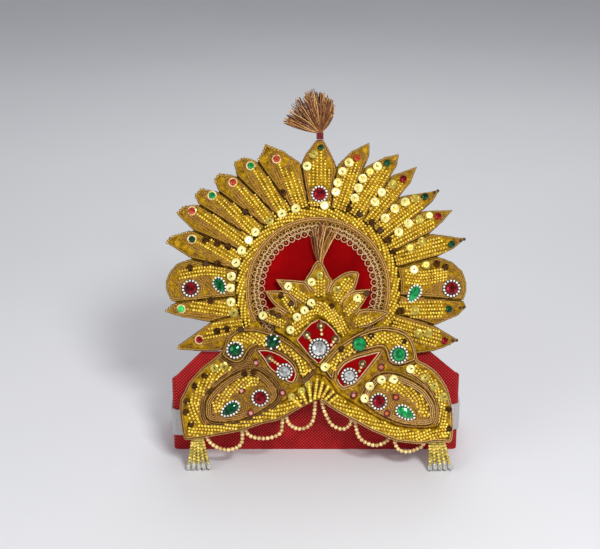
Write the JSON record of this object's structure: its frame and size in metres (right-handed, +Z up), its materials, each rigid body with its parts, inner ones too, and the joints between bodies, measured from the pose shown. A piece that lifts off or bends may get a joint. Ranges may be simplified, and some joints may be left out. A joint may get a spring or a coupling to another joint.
{
  "type": "mukut crown with cloth base band",
  "caption": "Embroidered mukut crown: a halo of padded bead rays, a crest and two wings with stones and bead swags, leaning on a red cloth base band with an elastic strap.",
  "frame": {"origin": "on the table, under the middle of the bounding box", "axes": "+Z up, +X to the right as seen from the front, front of the crown towards -Y"},
  "size_m": [0.2362, 0.1134, 0.2777],
  "materials": {
    "red_base_cloth": "non-woven cloth with a fine check",
    "white_elastic": "ribbed elastic",
    "red_lining": "plain cloth lining",
    "red_velvet": "velvet pile",
    "copper_lace": "metallic gimp",
    "gold_beadwork": "gold tissue with bead and coil embroidery",
    "copper_thread": "silky loose thread",
    "red_binding": "wound thread",
    "pearl_beads": "pearl lustre",
    "ruby_stone": "cut and polished",
    "emerald_stone": "cut and polished",
    "crystal_stone": "cut and polished"
  },
  "bodies": {
    "root": {"base_band": "red_base_cloth", "elastic_strap": "white_elastic", "halo_board": "red_lining", "velvet_disc": "red_velvet", "crest_velvet": "red_velvet", "wing_left_velvet": "red_velvet", "wing_right_velvet": "red_velvet", "lace_trim": "copper_lace", "halo_ring": "gold_beadwork", "lobe_left": "gold_beadwork", "lobe_right": "gold_beadwork", "spade_leaf": "gold_beadwork", "crest_board": "gold_beadwork", "crest_arch": "gold_beadwork", "wing_left_board": "gold_beadwork", "wing_right_board": "gold_beadwork", "wing_left_lobe": "gold_beadwork", "wing_right_lobe": "gold_beadwork", "wing_left_paisley": "gold_beadwork", "wing_right_paisley": "gold_beadwork", "ray_left_1": "gold_beadwork", "ray_left_2": "gold_beadwork", "ray_left_3": "gold_beadwork", "ray_left_4": "gold_beadwork", "ray_left_5": "gold_beadwork", "ray_left_6": "gold_beadwork", "ray_left_7": "gold_beadwork", "ray_left_8": "gold_beadwork", "ray_right_1": "gold_beadwork", "ray_right_2": "gold_beadwork", "ray_right_3": "gold_beadwork", "ray_right_4": "gold_beadwork", "ray_right_5": "gold_beadwork", "ray_right_6": "gold_beadwork", "ray_right_7": "gold_beadwork", "ray_right_8": "gold_beadwork", "top_tassel": "copper_thread", "crest_tassel": "copper_thread", "top_tassel_wrap": "red_binding", "swag_left": "pearl_beads", "swag_right": "pearl_beads", "end_tassel_left": "pearl_beads", "end_tassel_right": "pearl_beads", "stone_top_ruby": "ruby_stone", "stone_lobe_left_ruby": "ruby_stone", "stone_lobe_right_ruby": "ruby_stone", "stone_wing_left_ruby": "ruby_stone", "stone_wing_right_ruby": "ruby_stone", "stone_lobe_left_drop": "emerald_stone", "stone_lobe_right_drop": "emerald_stone", "stone_wing_left_outer_emerald": "emerald_stone", "stone_wing_left_inner_emerald": "emerald_stone", "stone_wing_left_drop": "emerald_stone", "stone_wing_right_outer_emerald": "emerald_stone", "stone_wing_right_inner_emerald": "emerald_stone", "stone_wing_right_drop": "emerald_stone", "stone_crest_crystal": "crystal_stone", "stone_wing_left_crystal": "crystal_stone", "stone_wing_right_crystal": "crystal_stone"}
  },
  "joints": []
}
